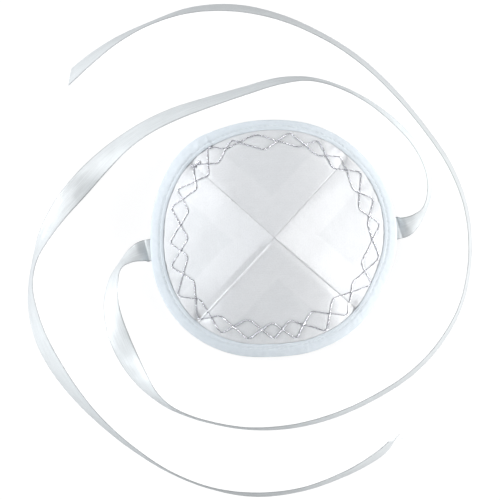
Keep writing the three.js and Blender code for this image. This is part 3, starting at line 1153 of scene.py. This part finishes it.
    def _allowances(self, cut: Cut, materials: list[bpy.types.Material]) -> None:
        """Makes a panel's two seam allowances, turned back and lying on its inside.

        Args:
            cut: the panel.
            materials: their finish.
        """
        skin = Skin()
        half = math.radians(cut.end - cut.start) / 2
        for seam, inwards in ((cut.start, 1), (cut.end, -1)):
            heading = math.radians(seam)
            rim = float(self.crown.raw_rim(np.array(seam))) - self.allowance_short
            along = np.linspace(self.allowance_start, rim, self.allowance_rows)[:, None]
            frayed = self.fray * rolling(along, along * 0, 1.7 * MM, 60 + round(seam) % 7)
            width = np.minimum(self.allowance + frayed, along * math.tan(half) - self.allowance_apart)
            beside = np.linspace(0.02, 1, self.allowance_columns)[None, :] * width
            along = np.minimum(along, np.sqrt(np.maximum(rim ** 2 - beside ** 2, 0)))
            x = along * math.cos(heading) - inwards * beside * math.sin(heading)
            y = along * math.sin(heading) + inwards * beside * math.cos(heading)
            puckers = np.sin(TURN * along / self.pucker_pitch) * np.exp(-beside / self.inner_pucker_fade)
            puckers = puckers * self.inner_pucker
            level = self.back - self.allowance_clear
            top = self.crown.point(x, y, level + np.minimum(puckers, 0))
            under = self.crown.point(x, y, level - self.allowance_thick + puckers)
            skin.add_sheet(top, under, np.stack([beside, along], -1))
        skin.piece(cut.name + "_allowances", materials, "satin")

    def _seam_stitches(self, material: bpy.types.Material) -> None:
        """Makes the stitches that show on the inside along the four seams.

        Args:
            material: the thread's material.
        """
        skin = Skin()
        pitch = self.stitch + self.stitch_space
        for cut in PANELS:
            rim = float(self.crown.raw_rim(np.array(cut.start)))
            for start in np.arange(self.stitches_short, rim - self.stitches_short, pitch):
                x, y = polar(start + np.linspace(0, self.stitch, STITCH_POINTS), cut.start)
                line = self.crown.point(x, y, self.back - self.stitch_depth - STITCH_BULGE)
                skin.add_thread(line, self.crown.normal(x, y), self.stitch_thread, sides=5)
        skin.piece("seam_stitches", [material], "sewing_thread")


# ---- The binding ----------------------------------------------------------------------------------


@dataclass
class Binding:
    """The bias strip folded over the panels' raw rim, with its stitches and its lapped join."""

    crown: Crown
    panels: Panels
    sectors: int = 720
    mean_radius: float = 54 * MM
    clear: float = 0.58 * MM
    thick: float = 0.92 * MM
    thinning: float = 0.9
    thin_for: float = 1.5 * MM
    outer_points: int = 22
    inner_points: int = 16
    lining_points: int = 6
    fold_points: int = 11
    inner_leg: float = 4.7 * MM
    fold_out: float = 1.55 * MM
    fold_gap: float = 0.6 * MM
    fold_back: float = 0.4 * MM
    stitch_in: float = 1.6 * MM
    stitch: float = 2.3 * MM
    stitch_groove: float = 0.12 * MM
    stitch_hole: float = 0.14 * MM
    stitch_thread: float = 0.13 * MM
    stitch_hole_width: float = 0.5 * MM
    stitch_groove_width: float = 0.42 * MM
    stitch_share: float = 0.44
    stitch_proud: float = 0.03 * MM
    stitch_sink: float = 0.22 * MM
    edge_radius: float = 50 * MM
    strain: float = 0.03 * MM
    strained: tuple[float, float] = (0.2 * MM, 2.4 * MM)
    strain_slope: float = 0.8
    strain_shift: float = 3
    strain_hills: tuple[float, int] = (19 * MM, 31)
    strain_pitch: float = 4.6 * MM
    softness: float = 0.05 * MM
    soft_hills: tuple[float, int] = (14 * MM, 33)
    join: tuple[float, float] = (123.5, 132.0)
    join_fades: tuple[float, float] = (0.35, 3.0)
    join_thick: float = 0.3 * MM

    def build(self) -> None:
        """Makes the strip and its two rows of stitches."""
        thread = SEWING_THREAD.material()
        self._strip(BIAS_CLOTH.material())
        self._stitches("binding_stitches_outside", 1, thread)
        self._stitches("binding_stitches_inside", -1, thread)

    def _puff(self, angle: Numbers, from_edge: Numbers) -> Numbers:
        """Thickness of a leg of the fold, with its stitches, its strain lines and the lapped join.

        Args:
            angle: directions round the apex.
            from_edge: distances from the leg's edge.

        Returns:
            The thickness at each.
        """
        around = np.radians(angle) * self.mean_radius
        round_edge = 1 - self.thinning * np.exp(-np.maximum(from_edge, 0) / self.thin_for)
        needle = off_pitch(around, self.stitch)
        seam = (self.stitch_groove + self.stitch_hole * hump(needle, 0, self.stitch_hole_width)) \
            * hump(from_edge, self.stitch_in, self.stitch_groove_width)
        shift = self.strain_shift * rolling(around, from_edge, *self.strain_hills)
        strain = np.sin(TURN * (around + self.strain_slope * from_edge) / self.strain_pitch + shift)
        strain *= self.strain * smoothstep(from_edge, *self.strained)
        soft = self.softness * rolling(around, from_edge * 0.6, *self.soft_hills)
        lap = smoothstep(angle, self.join[0], self.join[0] + self.join_fades[0]) \
            * (1 - smoothstep(angle, self.join[1] - self.join_fades[1], self.join[1]))
        return self.thick * round_edge - seam + strain + soft + self.join_thick * lap

    def _leg(self, angle: Numbers, inwards: Numbers, side: int, length: Numbers) -> Numbers:
        """Points on the face of one leg.

        Args:
            angle: directions round the apex.
            inwards: the way from the raw rim, from 0 to 1 at the leg's edge.
            side: 1 for the outside of the cap and -1 for the inside.
            length: the leg's length, seen from above.

        Returns:
            The points, as (directions, places, 3).
        """
        radius = self.crown.raw_rim(angle) - inwards * length
        out = side * (self.clear + self._puff(angle, (1 - inwards) * length))
        return self.crown.point(*polar(radius, angle), out)

    def _fold(self, angle: Numbers, outer_leg: Numbers) -> tuple[Numbers, Numbers]:
        """The fold between the two legs, past the panels' raw rim.

        Args:
            angle: directions round the apex.
            outer_leg: the outer leg's length at each.

        Returns:
            The points of its outer face, and the two rows of points behind it.
        """
        rim = self.crown.raw_rim(angle)
        edge = self.crown.point(*polar(rim, angle), 0.0)
        slope = unit(edge - self.crown.point(*polar(rim - 0.3 * MM, angle), 0.0))
        normal = self.crown.normal(*polar(rim, angle))
        bend = np.linspace(0, math.pi, self.fold_points + 2)[1:-1][None, :, None]
        out_top = self.clear + self._puff(angle, outer_leg)[..., None]
        out_under = self.clear + self._puff(angle, np.full_like(angle, self.inner_leg))[..., None]
        tall = np.where(np.cos(bend) > 0, out_top, out_under)
        fold = edge + normal * np.cos(bend) * tall + slope * np.sin(bend) * self.fold_out
        rows = np.array([-self.fold_back, self.fold_back])[None, :, None]
        return fold, edge + normal * rows + slope * self.fold_gap

    def _strip(self, material: bpy.types.Material) -> None:
        """Makes the folded strip as one closed ring.

        Args:
            material: the strip's material.
        """
        angle = (np.arange(self.sectors) * 360 / self.sectors)[:, None]
        rim = self.crown.raw_rim(angle)
        outer_leg = rim - self.panels.binding_edge(angle)
        face = self._leg(angle, np.linspace(0, 1, self.outer_points)[None, ::-1], 1, outer_leg)
        inside = self._leg(angle, np.linspace(0, 1, self.inner_points)[None, :], -1, self.inner_leg)
        fold, hidden = self._fold(angle, outer_leg)
        inwards = np.linspace(0, 1, self.lining_points)[None, :]
        legs = ((-1, self.inner_leg, inwards[:, ::-1]), (1, outer_leg, inwards))
        lining = [self.crown.point(*polar(rim - share * length, angle), side * self.clear)
                  for side, length, share in legs]
        rings = np.concatenate([face, fold, inside, lining[0], hidden, lining[1]], 1)
        rings[..., 2] = np.maximum(rings[..., 2], 0)
        around = np.append(travelled(rings[:, 0]), TURN * self.edge_radius)
        girth = travelled(rings[0])
        girth = np.append(girth, girth[-1] + 0.2 * MM)
        skin = Skin()
        skin.add_tube(rings, paired(girth[None, :], around[:, None]), Ends.JOINED)
        piece = skin.piece("binding_strip", [material], "binding")
        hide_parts("binding")

    def _stitches(self, name: str, side: int, material: bpy.types.Material) -> None:
        """Makes one row of stitches.

        Args:
            name: the piece's name.
            side: 1 for the outside of the cap and -1 for the inside.
            material: the thread's material.
        """
        skin = Skin()
        count = int(TURN * self.mean_radius / self.stitch)
        share = np.linspace(-1, 1, 9)
        for number in range(count):
            angle = ((number + 0.5 + self.stitch_share * share) * 360 / count)[:, None]
            rim = self.crown.raw_rim(angle)
            length = self.inner_leg if side < 0 else rim - self.panels.binding_edge(angle)
            inwards = 1 - self.stitch_in / length
            line = self._leg(angle, inwards, side, length)[:, 0]
            normal = self.crown.normal(*polar(rim - inwards * length, angle))[:, 0]
            sink = self.stitch_proud - self.stitch_sink * (share ** 8)[:, None]
            skin.add_thread(line + normal * side * sink, normal, self.stitch_thread, sides=6)
        skin.piece(name, [material], "sewing_thread")


# ---- The ribbons ----------------------------------------------------------------------------------


@dataclass(frozen=True)
class Station:
    """One place on a ribbon's way: how far it leans from lying flat, and how far it is lifted."""

    x: float
    y: float
    lean: float
    rise: float = 0


@dataclass
class Ribbon:
    """A satin ribbon tie, sewn inside the rim, that lies round the cap partly on its edge."""

    name: str
    stations: tuple[Station, ...]
    slant: float
    length: float
    exit: tuple[float, float, float]
    seed: int
    curl: float = 0
    width: float = 10 * MM
    thick: float = 0.34 * MM
    clearance: float = 0.05 * MM
    per_stretch: int = 22
    across: int = 26
    bead: float = 0.05 * MM
    bead_in: float = 0.35 * MM
    bead_width: float = 0.3 * MM
    thin_edge: float = 0.35
    thin_for: float = 0.2 * MM
    camber: float = 0.3 * MM
    cambered: tuple[float, float] = (15 * MM, 40 * MM)
    ripple: float = 0.06 * MM
    slanted_for: float = 9 * MM
    ragged: float = 0.12 * MM
    ragged_for: float = 1.5 * MM
    curled_for: float = 9 * MM
    fibres: int = 26
    fibre_from: float = 0.5 * MM
    fibre_reach: tuple[float, float] = (0.9 * MM, 1.9 * MM)
    fibre_bend: float = 0.25 * MM
    fibre_rest: float = 0.06 * MM
    fibre_radius: float = 0.035 * MM
    tacked: tuple[float, float] = (0.3, 1.7)
    tack_half_width: float = 3.6 * MM
    tack_stitch: float = 1.8 * MM
    tack_clear: float = 0.02 * MM
    tack_thread: float = 0.11 * MM
    path_step: float = 3 * MM

    def _between(self, place: Numbers, column: str) -> Numbers:
        """A column of the stations at any places along the ribbon.

        Args:
            place: the places, where a station's own is its number.
            column: the column's name.

        Returns:
            Its values there.
        """
        values = np.array([getattr(station, column) for station in self.stations])
        last = len(values) - 1
        first = np.minimum(np.floor(place).astype(int), last - 1)
        four = [values[np.clip(first + step, 0, last)] for step in (-1, 0, 1, 2)]
        return through_four(*four, place - first)

    def _centre(self, place: Numbers) -> Numbers:
        """The middle of the strip, which rests on its lower edge.

        Args:
            place: places along the ribbon, where a station's own is its number.

        Returns:
            The points.
        """
        lean = np.radians(self._between(place, "lean"))
        resting = self.width / 2 * np.abs(np.sin(lean)) + self.thick / 2 * np.cos(lean) + self.clearance
        return np.stack([self._between(place, "x"), self._between(place, "y"),
                         resting + self._between(place, "rise")], -1)

    def build(self, material: bpy.types.Material) -> None:
        """Args:
            material: the ribbon's material.
        """
        place = np.linspace(0, len(self.stations) - 1, (len(self.stations) - 1) * self.per_stretch + 1)
        centre = self._centre(place)
        way = travelled(centre)
        ahead = unit(np.gradient(centre, way, axis=0))
        left = unit(np.stack([-ahead[:, 1], ahead[:, 0], np.zeros(len(place))], -1))
        lean = np.radians(self._between(place, "lean"))[:, None]
        sideways = left * np.cos(lean) + np.cross(ahead, left) * np.sin(lean)
        face = np.cross(ahead, sideways)
        share = np.linspace(-1, 1, self.across)[None, :]
        offset = share * self.width / 2
        from_edge = self.width / 2 - np.abs(offset)
        half_thick = self.thick / 2 * np.minimum(1, self.thin_edge + from_edge / self.thin_for) \
            + self.bead * hump(from_edge, self.bead_in, self.bead_width)
        raised = self.camber * (1 - share ** 2) * smoothstep(way, *self.cambered)[:, None]
        raised = raised + self.ripple * (1 - share ** 4) \
            * rolling(way[:, None], offset * 2.5, 11 * MM, self.seed)
        slide = self.slant * share / 2 * smoothstep(way, way[-1] - self.slanted_for, way[-1])[:, None]
        ragged = self.ragged * rolling(offset, offset * 0, 0.9 * MM, self.seed + 1)
        slide = slide + ragged * smoothstep(way, way[-1] - self.ragged_for, way[-1])[:, None]
        corner = np.hypot(way[-1] - way[:, None], (1 - share * np.sign(self.slant)) * self.width / 2)
        curled = self.curl * (1 - smoothstep(corner, 0, self.curled_for)) ** 1.5
        aside = left[:, None] * (-np.sign(self.slant) * curled)[..., None]
        middle = centre[:, None] + sideways[:, None] * offset[..., None] \
            + face[:, None] * raised[..., None] + ahead[:, None] * slide[..., None] + aside
        sides = [middle + face[:, None] * side * half_thick[..., None] for side in (1, -1)]
        for side in sides:
            side[..., 2] = np.maximum(side[..., 2], self.clearance)
        skin = Skin()
        skin.add_sheet(*sides, paired(offset, way[:, None]))
        self._fray(skin, centre[-1], sideways[-1], ahead[-1], face[-1])
        piece = skin.piece(self.name + "_satin", [material], "ribbon")
        piece.visible_shadow = False
        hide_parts(self.name)
        path = evenly(centre, self.path_step).tolist()
        log.info("%s is %.1f mm long", self.name, way[-1] / MM)

    def _fray(self, skin: Skin, end: Numbers, across: Numbers, forward: Numbers, out: Numbers) -> None:
        """Adds the loose fibres at the cut end.

        Args:
            skin: takes their faces.
            end: the middle of the cut end.
            across, forward, out: the ribbon's directions there.
        """
        random = np.random.default_rng(self.seed + 2)
        for share in np.sort(random.uniform(-0.97, 0.97, self.fibres)):
            start = end + across * share * self.width / 2
            start = start + forward * (self.slant * share / 2 - self.fibre_from)
            t = np.linspace(0, 1, 6)[:, None]
            reach = random.uniform(*self.fibre_reach)
            curl = random.normal(0, self.fibre_bend, 2)
            line = start + forward * reach * t + across * curl[0] * t ** 2 + out * curl[1] * t ** 2
            line[:, 2] = np.maximum(line[:, 2], self.fibre_rest)
            skin.add_thread(line, np.broadcast_to(out, line.shape), self.fibre_radius, sides=4)

    def tack(self, material: bpy.types.Material) -> None:
        """Makes the stitches that hold the sewn end: a small square with a cross in it.

        Args:
            material: the thread's material.
        """
        near, far = self._centre(np.array(self.tacked))
        ahead = unit(far - near)
        across = unit(np.cross((0, 0, 1), ahead))
        above = np.cross(ahead, across)
        corners = [end + across * side * self.tack_half_width for end in (near, far) for side in (-1, 1)]
        out = (self.thick / 2 + self.tack_clear + STITCH_BULGE)[:, None]
        skin = Skin()
        for first, last in ((0, 1), (1, 3), (3, 2), (2, 0), (0, 3), (1, 2)):
            start, end = corners[first], corners[last]
            count = max(1, round(float(np.linalg.norm(end - start)) / self.tack_stitch))
            for number in range(count):
                share = (number + np.linspace(0.08, 0.92, STITCH_POINTS))[:, None] / count
                line = start + (end - start) * share
                for side in (-1, 1):
                    skin.add_thread(line + above * side * out, np.broadcast_to(above, line.shape),
                                    self.tack_thread, sides=5)
        skin.piece(self.name + "_tack_stitches", [material], "sewing_thread")


LEFT_STATIONS = tuple(Station(*row) for row in (
    (-0.0445, -0.0038, 0, 0.0053), (-0.0485, -0.0042, 0, 0.0028), (-0.0523, -0.0047, 0, 0.0005),
    (-0.0570, -0.0055, 0), (-0.0610, -0.0068, 34), (-0.0652, -0.0090, 60), (-0.0692, -0.0127, 75),
    (-0.0718, -0.0190, 62), (-0.0729, -0.0275, 48), (-0.0718, -0.0365, 34),
    (-0.0690, -0.0455, 22, 0.0008), (-0.0650, -0.0540, 28, 0.0006), (-0.0598, -0.0625, 46),
    (-0.0532, -0.0705, 68), (-0.0445, -0.0768, 80), (-0.0310, -0.0818, 83), (-0.0120, -0.0852, 82),
    (0.0080, -0.0843, 78), (0.0275, -0.0793, 76), (0.0460, -0.0708, 76), (0.0625, -0.0598, 76),
    (0.0755, -0.0455, 77), (0.0843, -0.0285, 79), (0.0880, -0.0075, 79), (0.0862, 0.0135, 78),
    (0.0790, 0.0325, 76), (0.0677, 0.0493, 76), (0.0540, 0.0657, 75), (0.0390, 0.0797, 74),
    (0.0225, 0.0905, 74), (0.0030, 0.0991, 71), (-0.0170, 0.1033, 68), (-0.0370, 0.1024, 72),
    (-0.0550, 0.0966, 79), (-0.0700, 0.0891, 71), (-0.0820, 0.0806, 61), (-0.0913, 0.0724, 57),
))

RIGHT_STATIONS = tuple(Station(*row) for row in (
    (0.0435, 0.0030, 0, 0.0053), (0.0475, 0.0034, 0, 0.0028), (0.0515, 0.0039, 0, 0.0005),
    (0.0565, 0.0048, 0), (0.0604, 0.0063, 34), (0.0645, 0.0093, 60), (0.0680, 0.0140, 77),
    (0.0700, 0.0225, 75), (0.0686, 0.0320, 73), (0.0635, 0.0420, 73), (0.0550, 0.0515, 74),
    (0.0430, 0.0610, 78), (0.0299, 0.0678, 80), (0.0160, 0.0715, 78), (0.0020, 0.0705, 69),
    (-0.0130, 0.0662, 65), (-0.0290, 0.0612, 59), (-0.0443, 0.0559, 52), (-0.0570, 0.0498, 48),
    (-0.0680, 0.0423, 40), (-0.0780, 0.0333, 22, 0.0009), (-0.0871, 0.0236, 5, 0.0019),
    (-0.0956, 0.0132, 29, 0.0006), (-0.1024, 0.0022, 51), (-0.1070, -0.0093, 75),
    (-0.1090, -0.0210, 76), (-0.1080, -0.0325, 63), (-0.1045, -0.0445, 53), (-0.0985, -0.0562, 51),
    (-0.0895, -0.0690, 59), (-0.0781, -0.0815, 70), (-0.0640, -0.0935, 77), (-0.0470, -0.1045, 82),
    (-0.0280, -0.1120, 82), (-0.0080, -0.1149, 76), (0.0124, -0.1126, 77), (0.0310, -0.1060, 74),
    (0.0450, -0.0983, 69), (0.0546, -0.0904, 68),
))


# ---- The studio -----------------------------------------------------------------------------------


@dataclass(frozen=True)
class Lamp:
    """A soft rectangular light that faces the cap."""

    name: str
    place: tuple[float, float, float]
    size: tuple[float, float]
    watts: float
    colour: tuple[float, float, float] = (1, 1, 1)

    def hang(self) -> None:
        """Hangs the light in its place."""
        data = bpy.data.lights.new(self.name, "AREA")
        data.shape = "RECTANGLE"
        data.size, data.size_y = self.size
        data.energy = self.watts
        data.color = self.colour
        lamp = bpy.data.objects.new(self.name, data)
        lamp.location = self.place
        lamp.rotation_euler = Vector(self.place).to_track_quat("Z", "Y").to_euler()
        bpy.context.scene.collection.objects.link(lamp)


@dataclass
class Studio:
    """A pale floor, soft lights and the camera straight above."""

    middle: tuple[float, float] = (-10.65 * MM, -5.2 * MM)
    view_width: float = 225 * MM
    camera_height: float = 1.5
    sensor: float = 36.0
    floor_half: float = 4.0
    floor_clear: float = 0.02 * MM
    floor_glow: float = 0.80
    surround: tuple[float, float, float] = (0.93, 0.96, 1.0)
    surround_strength: float = 0.2

    LAMPS = (
        Lamp("right_light", (1.35, -0.1, 0.36), (1.2, 0.5), 25.5),
        Lamp("left_light", (-1.35, 0.1, 0.36), (1.2, 0.5), 19, (0.96, 0.98, 1)),
        Lamp("high_left_light", (-0.85, 0.75, 1.25), (0.8, 0.5), 6.5),
        Lamp("back_strip", (0.1, 1.3, 0.12), (0.9, 0.1), 3),
        Lamp("front_strip", (-0.1, -1.3, 0.12), (0.9, 0.1), 3.5),
    )

    def camera(self) -> None:
        """Sets the camera over the cap, looking straight down with the cap's back at the top."""
        data = bpy.data.cameras.new("camera")
        data.sensor_width = self.sensor
        data.lens = self.sensor * self.camera_height / self.view_width
        camera = bpy.data.objects.new("camera", data)
        camera.location = (*self.middle, self.camera_height)
        bpy.context.scene.collection.objects.link(camera)
        bpy.context.scene.camera = camera

    def floor(self) -> None:
        """Lays the plain pale floor, which shows but neither lights the cap nor is reflected in it."""
        nodes = Nodes("pale_floor")
        across, along = nodes.place()
        cloudy = nodes.noise(across, along, (0.4, 0.4))
        material = nodes.surface({
            "Base Color": nodes.mix(cloudy, (0.27, 0.27, 0.27), (0.29, 0.29, 0.29)),
            "Roughness": 0.9,
            "Specular IOR Level": 0.1,
            "Emission Color": (1, 1, 1, 1),
            "Emission Strength": self.floor_glow,
        })
        mesh = bpy.data.meshes.new("floor")
        half = self.floor_half
        corners = [(-half, -half), (half, -half), (half, half), (-half, half)]
        mesh.from_pydata([(x, y, -self.floor_clear) for x, y in corners], [], [(0, 1, 2, 3)])
        mesh.uv_layers.new(name="cloth").data.foreach_set("uv", [n for corner in corners for n in corner])
        mesh.materials.append(material)
        floor = bpy.data.objects.new("floor", mesh)
        bpy.context.scene.collection.objects.link(floor)
        floor.visible_diffuse = floor.visible_glossy = False

    def lights(self) -> None:
        """Hangs the lamps and sets the dim surround."""
        for lamp in self.LAMPS:
            lamp.hang()
        world = bpy.data.worlds.new("surround")
        world.use_nodes = True
        back = world.node_tree.nodes["Background"]
        back.inputs["Color"].default_value = (*self.surround, 1)
        back.inputs["Strength"].default_value = self.surround_strength
        bpy.context.scene.world = world
        bpy.context.scene.view_settings.view_transform = "Standard"


# ---- The whole cap --------------------------------------------------------------------------------


def main() -> None:
    """Builds the cap piece by piece, and then the studio round it."""
    logging.basicConfig(level=logging.INFO, format="%(name)s: %(message)s")
    log.info("the packed model has the nodes %s", ", ".join(sorted(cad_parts)))
    studio = Studio()
    studio.camera()
    ribbon_satin, thread = RIBBON_SATIN.material(), SEWING_THREAD.material()
    ribbons = (
        Ribbon("ribbon_left", LEFT_STATIONS, 6 * MM, 0.526, (-0.0557, -0.0050, 0.0006), seed=41),
        Ribbon("ribbon_right", RIGHT_STATIONS, -6 * MM, 0.503, (0.0555, 0.0046, 0.0006), seed=51,
               curl=2.2 * MM),
    )
    for ribbon in ribbons:
        ribbon.build(ribbon_satin)
        ribbon.tack(thread)
    crown = Crown()
    embroidery = Embroidery(crown)
    panels = Panels(crown, embroidery)
    panels.build()
    Binding(crown, panels).build()
    embroidery.build(panels)
    studio.floor()
    studio.lights()


if __name__ == "__main__":
    main()
